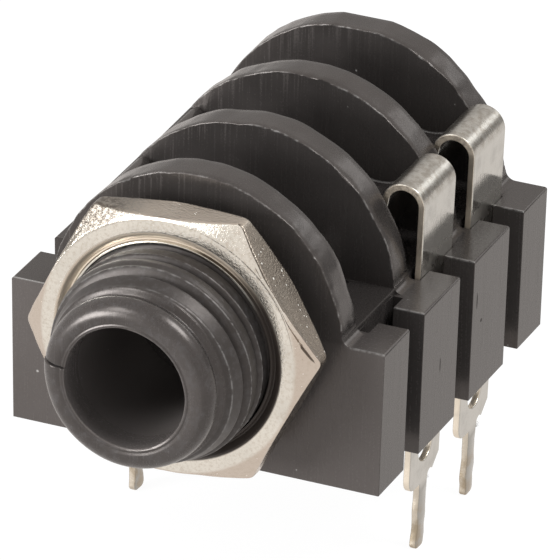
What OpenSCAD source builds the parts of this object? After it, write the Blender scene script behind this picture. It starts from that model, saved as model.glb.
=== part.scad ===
// Mono jack socket for a 6.35 mm plug: finned body with a threaded bush, hexagon nut and strip contacts.
// Millimetres. X to the right, Y to the back, Z up.
// The origin is on the jack axis, in the plane of the body's front face.

/* [Body] */
// Width of the core between the two rows of contact slots
core_width = 16.0; // [14:0.1:19]
// Depth of each side rib, measured outwards from the core
rib_depth = 2.25; // [1.6:0.05:3.5]
// Height of the rib tops above the jack axis
rib_top = 0.15; // [-0.5:0.05:0.4]
// Open gap between neighbouring side ribs
rib_gap = 1.9; // [1:0.1:2.6]
// Bevel along the outer top edge of the ribs
rib_bevel = 0.25; // [0.05:0.05:0.6]
// Draft of the side faces, narrower towards the underside
side_draft = 0.9; // [0:0.1:2]
// Drop of the underside below the jack axis
body_drop = 7.8; // [6.9:0.1:10]
// Height of the ledge beside the hump above the jack axis
ledge_top = 0.45; // [0.3:0.05:1]

/* [Fins] */
// Radius of the round fins about the jack axis
fin_radius = 7.9; // [7.2:0.1:9]
// Thickness of a fin
fin_thick = 1.75; // [1.2:0.05:2.4]
// Distance from one fin to the next
fin_pitch = 6.55; // [5.8:0.05:8]
// Radius of the fillet where a fin meets the rib tops
fin_foot = 0.55; // [0.2:0.05:0.8]
// Diameter of the bars that tie the first three fins together on the left
tie_diameter = 0.9; // [0.5:0.05:1.4]
// Angle of the tie bars, up from the left
tie_angle = 37; // [25:1:50]

/* [Bush and bore] */
// Outer diameter of the thread on the bush
bush_diameter = 11.0; // [10:0.1:13]
// Length of the bush in front of the body
bush_length = 8.73; // [7.5:0.01:12]
// Pitch of the thread
thread_pitch = 1.25; // [0.8:0.05:1.5]
// Depth of the thread
thread_depth = 0.42; // [0.2:0.02:0.6]
// Plain length between the body and the thread
thread_start = 0.6; // [0.3:0.1:1.2]
// Length of the tapered lead of the thread
lead_length = 1.8; // [1:0.1:2.2]
// Fall of the tapered lead, on radius
lead_step = 0.75; // [0.3:0.05:0.9]
// Step from the thread down to the plain nose, on radius
nose_step = 1.0; // [0.95:0.01:1.2]
// Length of the plain nose
nose_length = 1.6; // [1.2:0.05:2]
// Radius of the rounding at the front edge of the nose
nose_round = 0.85; // [0.3:0.05:0.95]
// Diameter of the bore for the plug
bore_diameter = 6.5; // [6.4:0.05:7]
// Width of the bevelled lip at the mouth
lip_width = 0.12; // [0.05:0.01:0.15]
// Depth of the bevelled lip at the mouth
lip_depth = 0.1; // [0.05:0.01:0.3]
// Wall of the tube around the bore, between the fins
tube_wall = 1.05; // [0.8:0.05:1.3]

/* [Hump between the fins] */
// Reach of the hump's sides beyond the tube
hump_side = 1.25; // [0.8:0.05:1.6]
// Height of the hump's shoulders above the jack axis
hump_top = 3.2; // [2.9:0.05:3.6]
// Radius of the hollow between tube and shoulder
hollow_radius = 2.6; // [2:0.1:3.2]
// Depth of the hollow below the shoulder
hollow_depth = 0.4; // [0.2:0.05:0.6]

/* [Nut] */
// Wall of the nut from the thread to a flat
nut_wall = 1.5; // [1.2:0.05:2.5]
// Thickness of the nut
nut_thick = 2.25; // [1.8:0.05:3.5]
// Space between the nut and the body
nut_space = 1.35; // [0.2:0.05:1.8]
// Turn of the nut about the jack axis
nut_turn = 3.3; // [0:0.1:60]
// Inset of the round face from the flats, on radius
nut_inset = 0.1; // [0.05:0.05:0.4]
// Angle of the corner bevels
nut_bevel = 30; // [15:1:40]
// Width of the countersink at each end of the nut's thread
nut_sink = 0.55; // [0.2:0.05:0.8]
// Running clearance between nut and bush, on radius
nut_clear = 0.06; // [0.02:0.01:0.1]

/* [Contacts] */
// Thickness of the contact strip
strip_thick = 0.38; // [0.25:0.01:0.5]
// Gap between the strip's edges and the fins
strip_gap = 0.35; // [0.25:0.05:0.7]
// Outer radius of the loop at the top
loop_radius = 1.18; // [0.9:0.02:1.3]
// Height of the loop's centre above the jack axis
loop_height = 4.05; // [3.2:0.05:5]
// Lean of the leg, inwards going down
leg_lean = 1.7; // [0:0.1:3]
// Lean of the arm below the loop, inwards going down
arm_lean = 11; // [0:1:14]
// Height of the bend below the loop
knee_height = 2.2; // [1.8:0.05:2.6]
// Angle below the horizontal where the arm meets the plug
crest_angle = 15; // [5:1:25]
// Length of the arm's tail below the plug
tail_length = 2.0; // [1.2:0.1:2.4]
// Clearance behind the strip in its slot
slot_clear = 0.12; // [0.04:0.01:0.2]
// Clearance at the strip's edges in slots and channels
edge_clear = 0.12; // [0.04:0.01:0.2]

/* [Lugs and pins] */
// Amount by which the lug is narrower than the strip, on each side
lug_step = 0.1; // [0.02:0.02:0.3]
// Length of the lug below the underside
lug_length = 4.6; // [3.6:0.1:6]
// Rounding of the lug's front corner
lug_round = 0.8; // [0.3:0.05:1.1]
// Diameter of the eye in the lug
eye_diameter = 1.8; // [1:0.05:2.2]
// Drop of the eye's centre below the underside
eye_drop = 2.45; // [1.6:0.05:3]
// Width of the board pin
pin_width = 1.0; // [0.7:0.05:1.3]
// Reach of the board pin below the underside
pin_reach = 8.45; // [6.5:0.05:11]

/* [Switch contacts] */
// Space between the tube and the roof of the channel under it
roof_space = 0.55; // [0.3:0.05:0.8]
// Clearance of the blade below the roof of its channel
blade_clear = 0.15; // [0.05:0.05:0.3]
// Rise of the blade's tip towards the arm's tail
tip_rise = 1.3; // [0.8:0.05:1.6]
// Distance of the switch contacts' pins in front of the middle of their lugs
switch_pin_lead = 0.4; // [0:0.05:0.6]

/* [Hidden] */
$fn = 96;
over = 1;

// Sizes that follow from the ones above
bore_r = bore_diameter / 2;
tube_r = bore_r + tube_wall;
bush_r = bush_diameter / 2;
core_half = core_width / 2;
body_half = core_half + rib_depth;
body_length = 3 * fin_pitch + fin_thick;
underside = -body_drop;
hump_half = tube_r + hump_side;
side_taper = (rib_top - underside) * tan(side_draft);
fin_space = fin_pitch - fin_thick;
strip_width = fin_space - 2 * strip_gap;
slot_half = strip_width / 2 + edge_clear;

// The leg's centre line: its place at the height of the axis, and how it moves with height
lean = tan(leg_lean);
leg_x = core_half + slot_clear + 0.03 + strip_thick / 2;
loop_mean = loop_radius - strip_thick / 2;
loop_foot = loop_height - loop_mean * sin(leg_lean);
loop_x = leg_x + loop_foot * lean - loop_mean * cos(leg_lean);

// Corners of the sprung arm: start at the loop, knee, crest beside the plug, end of the tail
arm_start = [loop_x - loop_mean * cos(arm_lean), loop_height + loop_mean * sin(arm_lean)];
knee = [arm_start[0] - (arm_start[1] - knee_height) * tan(arm_lean), knee_height];
crest_r = bore_r + strip_thick / 2;
crest = [crest_r * cos(crest_angle), -crest_r * sin(crest_angle)];
tail = [crest[0] + tail_length * sin(33), crest[1] - tail_length * cos(33)];

// Corners of the switch blade: bend at the leg, bend before the tip, tip
roof = -(tube_r + roof_space);
blade_z = roof - blade_clear - strip_thick / 2;
blade_start = [-(leg_x + blade_z * lean), blade_z];
blade_end = [tail[0] - 0.2, blade_z];
blade_tip = [tail[0] + 0.35, blade_z + tip_rise];

function fin_y(i) = i * fin_pitch;
function station_y(i) = fin_thick / 2 + (i + 0.5) * fin_pitch;
function leg_at(z) = [leg_x + z * lean, z];
function flip(p) = [-p[0], p[1]];

// A flat shape drawn in X and Z, made solid from y0 to y1
module slab(y0, y1) {
  translate([0, y1, 0]) rotate([90, 0, 0]) linear_extrude(y1 - y0) children();
}

// A straight length of strip from p to q, in X and Z
module run(p, q, thick) {
  length = norm(q - p);
  translate(p) rotate(atan2(q[1] - p[1], q[0] - p[0])) translate([0, -thick / 2]) square([length, thick]);
}

// The rounded bend where two lengths of strip meet
module bend(p) {
  translate(p) circle(d = strip_thick, $fn = 24);
}

// The body

module rib_shape() {
  low = body_half - side_taper;
  polygon([
    [-low, underside], [low, underside],
    [body_half, rib_top - rib_bevel], [body_half - rib_bevel, rib_top],
    [-body_half + rib_bevel, rib_top], [-body_half, rib_top - rib_bevel]
  ]);
}

module ribs() {
  slab(0, station_y(0) - rib_gap / 2) rib_shape();
  slab(station_y(0) + rib_gap / 2, station_y(1) - rib_gap / 2) rib_shape();
  slab(station_y(1) + rib_gap / 2, station_y(2) - rib_gap / 2) rib_shape();
  slab(station_y(2) + rib_gap / 2, body_length) rib_shape();
}

module core() {
  slab(0, body_length)
    translate([-core_half, underside])
      square([core_width, ledge_top - underside]);
}

// The tube round the bore, with shoulders beside it where the contacts stand
module hump() {
  hollow_x = tube_r;
  hollow_z = hump_top - hollow_depth + hollow_radius;
  slab(0, body_length) circle(tube_r);
  slab(fin_y(1), body_length)
    difference() {
      translate([-hump_half, -over]) square([2 * hump_half, hump_top + over]);
      for (side = [-1, 1]) translate([side * hollow_x, hollow_z]) circle(hollow_radius);
    }
}

module fins() {
  for (i = [0:3]) translate([0, fin_y(i), 0]) rotate([-90, 0, 0]) cylinder(h = fin_thick, r = fin_radius);
}

// Bars near the rims of the first three fins
module tie_bars() {
  middle = fin_radius - tie_diameter / 2 - 0.05;
  for (i = [0:1])
    slab(fin_y(i) + fin_thick / 2, fin_y(i + 1) + fin_thick / 2)
      rotate(180 - tie_angle) translate([middle, 0]) circle(d = tie_diameter, $fn = 32);
}

// Fillets between the rims of the fins and the rib tops
module fin_feet() {
  reach = core_half + 0.45;
  for (i = [0:3])
    slab(fin_y(i), fin_y(i) + fin_thick)
      for (side = [0, 1])
        mirror([side, 0])
          difference() {
            translate([reach - 2 * fin_foot, rib_top - 0.1]) square([2 * fin_foot, fin_foot + 0.1]);
            translate([reach, rib_top + fin_foot]) circle(fin_foot, $fn = 32);
          }
}

module bush() {
  nose_r = bush_r - nose_step;
  neck = bush_length - nose_length;
  full = neck - lead_length;
  rotate([90, 0, 0]) {
    translate([0, 0, -fin_thick]) cylinder(h = fin_thick + full, r = bush_r);
    translate([0, 0, full]) cylinder(h = lead_length, r1 = bush_r, r2 = bush_r - lead_step);
    translate([0, 0, neck - over]) cylinder(h = over + nose_length - nose_round, r = nose_r);
    translate([0, 0, bush_length - over]) cylinder(h = over, r = nose_r - nose_round);
    translate([0, 0, bush_length - nose_round])
      rotate_extrude() translate([nose_r - nose_round, 0]) circle(nose_round, $fn = 32);
  }
}

// Thread grooves, one ring to each turn
module thread_grooves() {
  turns = floor((bush_length - nose_length - thread_start) / thread_pitch);
  half = 0.4 * thread_pitch;
  out = 0.2;
  flare = half * (thread_depth + out) / thread_depth;
  rotate([90, 0, 0])
    for (i = [0:turns - 1])
      translate([0, 0, thread_start + (i + 0.5) * thread_pitch])
        rotate_extrude()
          polygon([[bush_r - thread_depth, 0], [bush_r + out, -flare], [bush_r + out, flare]]);
}

module bore() {
  rotate([90, 0, 0]) {
    translate([0, 0, -body_length - over]) cylinder(h = body_length + bush_length + 2 * over, r = bore_r);
    translate([0, 0, bush_length - lip_depth])
      cylinder(h = 2 * lip_depth, r1 = bore_r, r2 = bore_r + 2 * lip_width);
  }
}

// Slots for the legs on both sides: the strip lies against the outer wall
module leg_slots(i) {
  shift = [-slot_clear / 2, 0];
  slab(station_y(i) - slot_half, station_y(i) + slot_half)
    for (side = [0, 1])
      mirror([side, 0])
        run(leg_at(underside - over) + shift, leg_at(rib_top + over) + shift, strip_thick + slot_clear);
}

// Window for the sprung arm, the way down to the channel of the switch blade,
// and free space from the arm outwards, which trims the hump where the arm stands close to it
module arm_window(i) {
  low = tail[1] - 0.4;
  room = (strip_thick / 2 + slot_clear) / cos(arm_lean);
  slab(station_y(i) - slot_half, station_y(i) + slot_half) {
    translate([bore_r * 0.75, low]) square([hump_half + 0.05 - bore_r * 0.75, knee_height - low]);
    translate([crest[0] + 0.3, roof - 0.1]) square([hump_half + 0.05 - crest[0] - 0.3, low - roof + 0.2]);
    polygon([
      knee - [room + strip_thick * tan(arm_lean), strip_thick], arm_start - [room, 0],
      [body_half, arm_start[1]], [body_half, knee_height - strip_thick]
    ]);
  }
}

// Channel for the switch blade, open at the underside
module blade_channel(i) {
  start = blade_start[0] - strip_thick / 2;
  slab(station_y(i) - slot_half, station_y(i) + slot_half)
    translate([start, underside - over]) square([hump_half + 0.05 - start, roof - underside + over]);
}

module socket_body() {
  color([0.13, 0.13, 0.135])
    difference() {
      union() {
        ribs();
        core();
        hump();
        fins();
        tie_bars();
        fin_feet();
        bush();
      }
      bore();
      thread_grooves();
      for (i = [0:2]) {
        leg_slots(i);
        arm_window(i);
        blade_channel(i);
      }
    }
}

// The nut

module hex_nut() {
  flat_r = bush_r + nut_wall;
  face_r = flat_r - nut_inset;
  corner_r = flat_r / cos(30);
  rise = (corner_r - face_r) * tan(nut_bevel) + 0.01;
  hole_r = bush_r + nut_clear;
  sink_r = hole_r + 2 * nut_sink;
  wide = face_r + rise / tan(nut_bevel);
  color([0.78, 0.75, 0.7])
    translate([0, -nut_space, 0]) rotate([90, 0, 0])
      difference() {
        intersection() {
          rotate([0, 0, nut_turn]) cylinder(h = nut_thick, r = corner_r, $fn = 6);
          union() {
            cylinder(h = rise, r1 = face_r, r2 = wide);
            translate([0, 0, rise]) cylinder(h = nut_thick - 2 * rise, r = wide);
            translate([0, 0, nut_thick - rise]) cylinder(h = rise, r1 = wide, r2 = face_r);
          }
        }
        translate([0, 0, -over]) cylinder(h = nut_thick + 2 * over, r = hole_r);
        translate([0, 0, nut_thick - nut_sink]) cylinder(h = 2 * nut_sink, r1 = hole_r, r2 = sink_r);
        translate([0, 0, -nut_sink]) cylinder(h = 2 * nut_sink, r1 = sink_r, r2 = hole_r);
      }
}

// The contacts

// Outline of a contact seen from the side, in Y and Z, about its station; the pin is pin_lead ahead of it
module side_outline(pin_lead) {
  half = strip_width / 2;
  lug_half = half - lug_step;
  lug_z = underside - lug_length;
  pin_z = underside - pin_reach;
  pin_half = pin_width / 2;
  notch_r = 0.35;
  notch_y = pin_half + notch_r - pin_lead;
  tip_round = 0.3;
  difference() {
    union() {
      translate([-half, underside]) square([2 * half, 40]);
      polygon([
        [-lug_half, underside + over], [-lug_half, lug_z + lug_round], [-lug_half + lug_round, lug_z],
        [notch_y, lug_z], [lug_half, lug_z + lug_round + 0.1], [lug_half, underside + over]
      ]);
      translate([-lug_half + lug_round, lug_z + lug_round]) circle(lug_round, $fn = 32);
      translate([-pin_lead, 0]) {
        translate([-pin_half, pin_z + tip_round]) square([pin_width, pin_reach - lug_length]);
        translate([-pin_half + tip_round, pin_z]) square([pin_width - 2 * tip_round, 1]);
        for (side = [-1, 1])
          translate([side * (pin_half - tip_round), pin_z + tip_round]) circle(tip_round, $fn = 24);
      }
    }
    translate([notch_y, lug_z]) circle(notch_r, $fn = 24);
    translate([0, underside - eye_drop]) circle(d = eye_diameter, $fn = 48);
  }
}

// Path of a sprung contact seen from the front, in X and Z: leg, loop over the top, arm down to the plug
module spring_path() {
  foot = leg_at(underside - pin_reach - over);
  far = 3 * loop_radius;
  // Angle by which the loop laps over the leg and the arm
  lap = 1.5;
  run(foot, leg_at(loop_foot), strip_thick);
  translate([loop_x, loop_height])
    difference() {
      circle(loop_radius, $fn = 64);
      circle(loop_radius - strip_thick, $fn = 64);
      // The open side of the loop, between the leg and the arm
      polygon([
        [0, 0], far * [cos(leg_lean + lap), -sin(leg_lean + lap)], [far, -far],
        [-far, -far], far * [-cos(arm_lean - lap), sin(arm_lean - lap)]
      ]);
    }
  run(knee, arm_start, strip_thick);
  bend(knee);
  run(crest, knee, strip_thick);
  bend(crest);
  run(tail, crest, strip_thick);
}

// Path of a switch contact seen from the front, in X and Z: leg, blade under the bore, upturned tip
module switch_path() {
  foot = flip(leg_at(underside - pin_reach - over));
  run(foot, blade_start, strip_thick);
  bend(blade_start);
  run(blade_start, blade_end, strip_thick);
  bend(blade_end);
  run(blade_end, blade_tip, strip_thick);
}

module strip_contact(i, pin_lead = 0) {
  middle = station_y(i);
  intersection() {
    slab(middle - strip_width / 2, middle + strip_width / 2) children();
    translate([-2 * body_half, middle, 0])
      rotate([90, 0, 90]) linear_extrude(4 * body_half) side_outline(pin_lead);
  }
}

module sleeve_contact() {
  color([0.8, 0.78, 0.74]) strip_contact(1) spring_path();
}

module tip_contact() {
  color([0.8, 0.78, 0.74]) strip_contact(2) spring_path();
}

module sleeve_switch_contact() {
  color([0.76, 0.74, 0.7]) strip_contact(1, switch_pin_lead) switch_path();
}

module tip_switch_contact() {
  color([0.76, 0.74, 0.7]) strip_contact(2, switch_pin_lead) switch_path();
}

socket_body();
hex_nut();
sleeve_contact();
tip_contact();
sleeve_switch_contact();
tip_switch_contact();
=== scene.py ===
"""Looks of a mono jack socket: finned moulding, threaded bush, hexagon nut and strip contacts."""

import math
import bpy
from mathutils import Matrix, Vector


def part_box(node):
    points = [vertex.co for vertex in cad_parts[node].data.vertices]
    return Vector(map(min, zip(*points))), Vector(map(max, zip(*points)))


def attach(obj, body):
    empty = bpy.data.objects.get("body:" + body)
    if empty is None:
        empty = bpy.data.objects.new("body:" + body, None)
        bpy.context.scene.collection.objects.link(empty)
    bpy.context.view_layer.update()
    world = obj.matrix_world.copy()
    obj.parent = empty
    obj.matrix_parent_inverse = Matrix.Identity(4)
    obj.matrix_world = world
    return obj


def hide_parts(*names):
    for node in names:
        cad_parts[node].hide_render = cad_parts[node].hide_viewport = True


bl_info = {
    "name": "Mono Jack Socket Dressing",
    "version": (1, 0, 0),
    "blender": (4, 5, 0),
    "location": "View3D > Sidebar > Jack Socket",
    "description": "Dresses the socket's solids: moulded body with its thread, plated nut and strip contacts",
    "category": "Object",
}

import bpy
from mathutils import Matrix, Vector, noise

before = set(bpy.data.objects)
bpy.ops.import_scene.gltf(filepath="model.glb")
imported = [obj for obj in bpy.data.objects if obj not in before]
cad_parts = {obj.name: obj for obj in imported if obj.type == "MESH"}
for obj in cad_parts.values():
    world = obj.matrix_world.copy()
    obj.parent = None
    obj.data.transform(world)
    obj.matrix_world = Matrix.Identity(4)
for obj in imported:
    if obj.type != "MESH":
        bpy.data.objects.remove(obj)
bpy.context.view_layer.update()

MM = 0.001


def box_of(node):
    """The lowest and highest corner of a solid, in millimetres."""
    return [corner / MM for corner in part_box(node)]


# Places on the body, in millimetres, from the frame or as the part's own sizes give them
BODY_LOW, BODY_HIGH = box_of("socket_body")
FIN_RADIUS = BODY_HIGH.z
FIN_THICK = 1.75
FIN_PITCH = 6.55
FIN_FRONTS = [i * FIN_PITCH for i in range(4)]
GATE_CUT = 7.82
BORE_RADIUS = 3.25
CORE_HALF = 8.0
UNDERSIDE = -7.8
RIB_TOP = 0.15
RIB_SIDE = BODY_HIGH.x
RIB_GAP = 1.9
RIB_BEVEL = 0.25
LEFT_EDGE_LINE = 0.14
RIGHT_EDGE_LINE = 0.09
# Front edges of the four blocks on each side
BLOCK_FRONTS = [0.0] + [FIN_THICK / 2 + (i + 0.5) * FIN_PITCH + RIB_GAP / 2 for i in range(3)]
# Dark scuffs on the right blocks' sides: Y, Z, half width and half height
SCUFFS = ((7.5, -3.85, 0.09, 0.55), (12.2, -2.3, 0.09, 0.6), (12.87, -3.7, 0.14, 0.12))

# The fins' rims: how far they stand out, and the heights of their waves and ripples
RIM_SWELL = 0.03
RIM_WAVE = 0.1
RIM_RIPPLE = 0.03

# The bush from the body to the mouth, as Y, radius or both
BUSH_ROOT = -0.02
BUSH_START = BUSH_ROOT - 0.02
CREST_EASE = 0.045
THREAD_REAR = -0.9
THREAD_FULL = -5.33
THREAD_ROWS = 150
THREAD_PHASE = 0.12
RUN_IN = 0.5
RUN_OUT = 0.9
GROOVE_HALF = 0.2
RIDGE_OFF = GROOVE_HALF + 0.05
RIDGE_HEIGHT = 0.16
RIDGE_WIDTH = 0.045
# Shifts the pale line on the ridge beside the groove, wear with a painted highlight, to the middle of a turn
CREST_PHASE = THREAD_PHASE - RIDGE_OFF + 1.0
LEAD_END = (-7.06, 4.8)
NECK = (-7.36, 4.42)
NOSE_RADIUS = 4.62
NOSE_ROUND = 0.9
MOUTH = BODY_LOW.y
# From the nose over a fine groove and the lip into the bore: depth behind the mouth, and radius
MOUTH_LIP = ((0.005, 3.58), (0.05, 3.5), (0.05, 3.46), (0.01, 3.42), (0.012, 3.37), (0.045, 3.29),
             (0.12, BORE_RADIUS))
BUSH_COLUMNS = 208
PARTING_ANGLE = 173.0
PARTING_DEPTH = 0.15
PARTING_WIDTH = 0.05
PARTING_STEP = 0.05
PARTING_SPREAD = 1.2
# Radii that the open rings at the bush's root and at the bore lie between
OPEN_RINGS = ((4.5, 6.0), (3.0, 4.0))
BUSH_WAVE = 0.012

# The nut, with its section from the hole over the thread's lip to the face as (Y, radius)
NUT_LOW, NUT_HIGH = box_of("hex_nut")
NUT_FRONT = NUT_LOW.y
NUT_REAR = NUT_HIGH.y
NUT_FLAT = 7.0
NUT_TURN = 3.3
NUT_HOLE = 5.56
NUT_SINK = 6.11
NUT_LIP = ((-2.5, 5.56), (-2.9, 5.56), (-3.35, 5.535), (-3.45, 5.55), (-3.46, 5.6), (-3.44, 5.66),
           (-3.31, 5.74), (-3.3, 5.8), (-3.43, 5.93), (-3.57, 6.07), (-3.6, 6.13))
NUT_FACE_RADIUS = 6.9
NUT_FACE_RINGS = (6.22, 6.36, 6.5, 6.64, 6.78, NUT_FACE_RADIUS - 0.02)
NUT_DOME = 0.045
NUT_CORNER = 0.45
NUT_BEVEL = math.radians(30.0)
HALF_FLAT = math.radians(30.0)
BURR_ANGLE = 14.0
BURR_SPREAD = 11.0
BURR_HEIGHT = 0.1
NUT_WAVE = 0.006
NUT_WAVE_SHARE = 0.0012

# The contacts: the loop's centre, the board pins, and beads of plating beside the right pins
LOOP_HEIGHT = 4.05
PIN_TIPS = box_of("sleeve_contact")[0].z
PIN_TOP = -12.6
PIN_CUTS = 12
PIN_WAVE_X = 0.04
PIN_WAVE_Y = 0.09
BEADS = {"sleeve_contact": ((8.08, 11.33, -12.4), 0.1), "tip_contact": ((8.08, 17.93, -12.47), 0.15)}

# Fixed tints of dust, wear and stains, and of painted light and shade
DUST_GREY = (0.42, 0.41, 0.4)
BLOOM_GREY = (0.085, 0.084, 0.088)
SCUFF_BLACK = (0.006, 0.005, 0.005)
SINK_SHADE_BROWN = (0.36, 0.28, 0.2)
SINK_SHADE = (0.035, 0.026, 0.021)
FACE_MOTTLE = (0.46, 0.40, 0.33)
BEVEL_SHADE_TAN = (0.52, 0.45, 0.385)
BEVEL_SHADE = (0.24, 0.225, 0.2)
BEVEL_CRUST = (0.12, 0.105, 0.09)
CREASE_SHADE = (0.05, 0.038, 0.028)
FLAT_SHADE_TAN = (0.42, 0.375, 0.32)
FLAT_SHADE = (0.26, 0.23, 0.195)
NODULE_HIGHLIGHT = (0.9, 0.88, 0.84)
GLINT_BRIGHT = (0.7, 0.67, 0.61)
PIT_BROWN = (0.24, 0.205, 0.17)
PIN_BROWN = (0.27, 0.215, 0.14)
BEND_SHADE = (0.26, 0.235, 0.2)
STRIP_STAIN = (0.2, 0.17, 0.14)


def size_setting(name, description, default, low, high):
    """A length, its values given in millimetres."""
    return bpy.props.FloatProperty(
        name=name, description=description, default=default * MM, min=low * MM, max=high * MM,
        unit="LENGTH", precision=6)


def colour_setting(name, description, default):
    return bpy.props.FloatVectorProperty(
        name=name, description=description, default=default, subtype="COLOR", size=4, min=0.0, max=1.0)


class SocketSizes(bpy.types.PropertyGroup):
    """Sizes of the moulded and stamped detail"""

    edge_round: size_setting("Edge rounding", "Rounding of the moulding's edges", 0.07, 0.01, 0.2)
    nick_depth: size_setting(
        "Nick depth", "Depth of the nicks along the fins' front edges", 0.15, 0.0, 0.3)
    thread_pitch: size_setting(
        "Thread pitch", "Distance between neighbouring turns of the thread", 1.25, 0.5, 2.0)
    thread_depth: size_setting("Thread depth", "Depth of the groove between the turns", 0.34, 0.05, 0.6)
    bush_radius: size_setting("Bush radius", "Radius over the crests of the thread", 5.5, 5.0, 5.6)
    nut_round: size_setting(
        "Nut rounding", "Rounding of the nut's edges under the plating", 0.2, 0.02, 0.3)
    strip_round: size_setting(
        "Strip rounding", "Rounding of the stamped strip's edges", 0.075, 0.01, 0.15)


class SocketColours(bpy.types.PropertyGroup):
    """Colours of the finishes"""

    moulding: colour_setting("Moulding", "Black moulded plastic", (0.027, 0.0243, 0.0232, 1.0))
    # The same pale tone also draws painted highlight lines on edges and thread crests
    worn_edge_and_highlight: colour_setting(
        "Worn edge", "Plastic whitened along nicked edges", (0.20, 0.195, 0.19, 1.0))
    nut_plate: colour_setting("Nut plating", "Warm nickel on the nut", (0.70, 0.68, 0.62, 1.0))
    strip_plate: colour_setting(
        "Strip plating", "Nickel on the contact strips", (0.45, 0.445, 0.415, 1.0))
    sheared_edge: colour_setting(
        "Sheared edge", "Thinly plated stamped edges of the strips", (0.74, 0.68, 0.58, 1.0))
    floor: colour_setting("Floor", "Pale studio floor", (0.86, 0.86, 0.86, 1.0))


# Small tools for working on one mesh at a time

def add_object(name, data):
    """A new object in the scene."""
    made = bpy.data.objects.new(name, data)
    bpy.context.scene.collection.objects.link(made)
    return made


def work_on(piece):
    """Makes piece the only selected and the active object."""
    bpy.ops.object.select_all(action="DESELECT")
    piece.select_set(True)
    bpy.context.view_layer.objects.active = piece


def edit(piece):
    work_on(piece)
    bpy.ops.object.mode_set(mode="EDIT")


def edit_all(piece):
    """Opens piece in edit mode with all of it selected."""
    edit(piece)
    bpy.ops.mesh.select_all(action="SELECT")


def leave():
    bpy.ops.object.mode_set(mode="OBJECT")


def start_picks(mesh, kind):
    """Clears the selection of a mesh, for picking its corners, edges or faces."""
    for group in (mesh.vertices, mesh.edges, mesh.polygons):
        group.foreach_set("select", [False] * len(group))
    bpy.context.tool_settings.mesh_select_mode = [kind == each for each in ("corners", "edges", "faces")]


def finish_with(piece, kind, **settings):
    """Adds a modifier with these settings and applies it."""
    work_on(piece)
    modifier = piece.modifiers.new(kind.title(), kind)
    for name, value in settings.items():
        setattr(modifier, name, value)
    bpy.ops.object.modifier_apply(modifier=modifier.name)


def copy_of(node, name, merge=0.001):
    """A new piece with a merged copy of a solid's mesh, its flat triangles joined up."""
    piece = add_object(name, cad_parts[node].data.copy())
    piece.data.materials.clear()
    edit_all(piece)
    bpy.ops.mesh.remove_doubles(threshold=merge * MM)
    bpy.ops.mesh.dissolve_limited(angle_limit=math.radians(0.6))
    leave()
    return piece


def rolled_grid(columns, rows, corner_at):
    """A grid rolled up into a closed ring: corner_at gives each corner's place from its column and row."""
    bpy.ops.mesh.primitive_grid_add(x_subdivisions=columns, y_subdivisions=rows, size=2.0)
    piece = bpy.context.object
    for corner in piece.data.vertices:
        column = round((corner.co.x + 1.0) / 2.0 * columns)
        row = round((corner.co.y + 1.0) / 2.0 * rows)
        corner.co = corner_at(column, row) * MM
    edit_all(piece)
    bpy.ops.mesh.remove_doubles(threshold=0.0005 * MM)
    leave()
    return piece


def face_outwards(piece):
    edit_all(piece)
    bpy.ops.mesh.normals_make_consistent(inside=False)
    leave()


def edge_faces(mesh):
    """The faces that meet at each edge, by the edge's two corners."""
    meeting = {}
    for face in mesh.polygons:
        for key in face.edge_keys:
            meeting.setdefault(key, []).append(face)
    return meeting


def edge_ends(mesh, edge):
    """The two ends of an edge, in millimetres."""
    return [mesh.vertices[i].co / MM for i in edge.vertices]


def mark_edges(piece, wanted, least_angle, room=0.0):
    """Gives each edge sharper than least_angle, with room at its ends, the bevel weight that wanted says."""
    mesh = piece.data
    weights = mesh.attributes.new("bevel_weight_edge", "FLOAT", "EDGE")
    meeting = edge_faces(mesh)
    shortest = {}
    for edge in mesh.edges:
        first, second = edge_ends(mesh, edge)
        length = (first - second).length
        for i in edge.vertices:
            shortest[i] = min(shortest.get(i, length), length)
    for edge in mesh.edges:
        faces = meeting.get(edge.key, [])
        if len(faces) != 2 or min(shortest[i] for i in edge.vertices) < room:
            continue
        if faces[0].normal.angle(faces[1].normal, 0.0) > least_angle:
            weights.data[edge.index].value = wanted(*edge_ends(mesh, edge))


def round_edges(piece, width, segments):
    """Bevels the marked edges. The new faces are left in the second material slot."""
    finish_with(
        piece, "BEVEL", limit_method="WEIGHT", width=width, segments=segments, use_clamp_overlap=False,
        material=1)


def smooth(piece, angle):
    """Smooth shading over edges flatter than angle, with the flat faces kept flat."""
    work_on(piece)
    bpy.ops.object.shade_smooth_by_angle(angle=math.radians(angle))
    finish_with(piece, "WEIGHTED_NORMAL", keep_sharp=True)


# Shader helpers: most find the tree that their node goes in from the sockets they are given

def feed(socket, value):
    """Links value to a socket, or sets it there where it is a plain number or colour."""
    if isinstance(value, bpy.types.NodeSocket):
        socket.id_data.links.new(value, socket)
    else:
        socket.default_value = value


def set_in(node, **values):
    for name, value in values.items():
        feed(node.inputs[name.replace("_", " ")], value)


def maths(operation, *values):
    """A Math node on sockets and numbers."""
    tree = next(value.id_data for value in values if isinstance(value, bpy.types.NodeSocket))
    node = tree.nodes.new("ShaderNodeMath")
    node.operation = operation
    for socket, value in zip(node.inputs, values):
        feed(socket, value)
    return node.outputs[0]


def times(product, *others):
    for other in others:
        product = maths("MULTIPLY", product, other)
    return product


def plus(total, *others):
    for other in others:
        total = maths("ADD", total, other)
    return total


def without(mask):
    """What a mask leaves: one less the mask."""
    return maths("SUBTRACT", 1.0, mask)


def ramp(value, zero_at, one_at):
    """A mask that goes smoothly from 0 to 1 as value goes from zero_at to one_at."""
    node = value.id_data.nodes.new("ShaderNodeMapRange")
    node.interpolation_type = "SMOOTHSTEP"
    set_in(node, Value=value, From_Min=zero_at, From_Max=one_at)
    return node.outputs["Result"]


def blend(mask, first, second):
    """The colour first where mask is 0, and second where it is 1."""
    node = mask.id_data.nodes.new("ShaderNodeMix")
    node.data_type = "RGBA"
    feed(node.inputs["Factor"], mask)
    feed(node.inputs[6], first)
    feed(node.inputs[7], second)
    return node.outputs[2]


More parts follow.
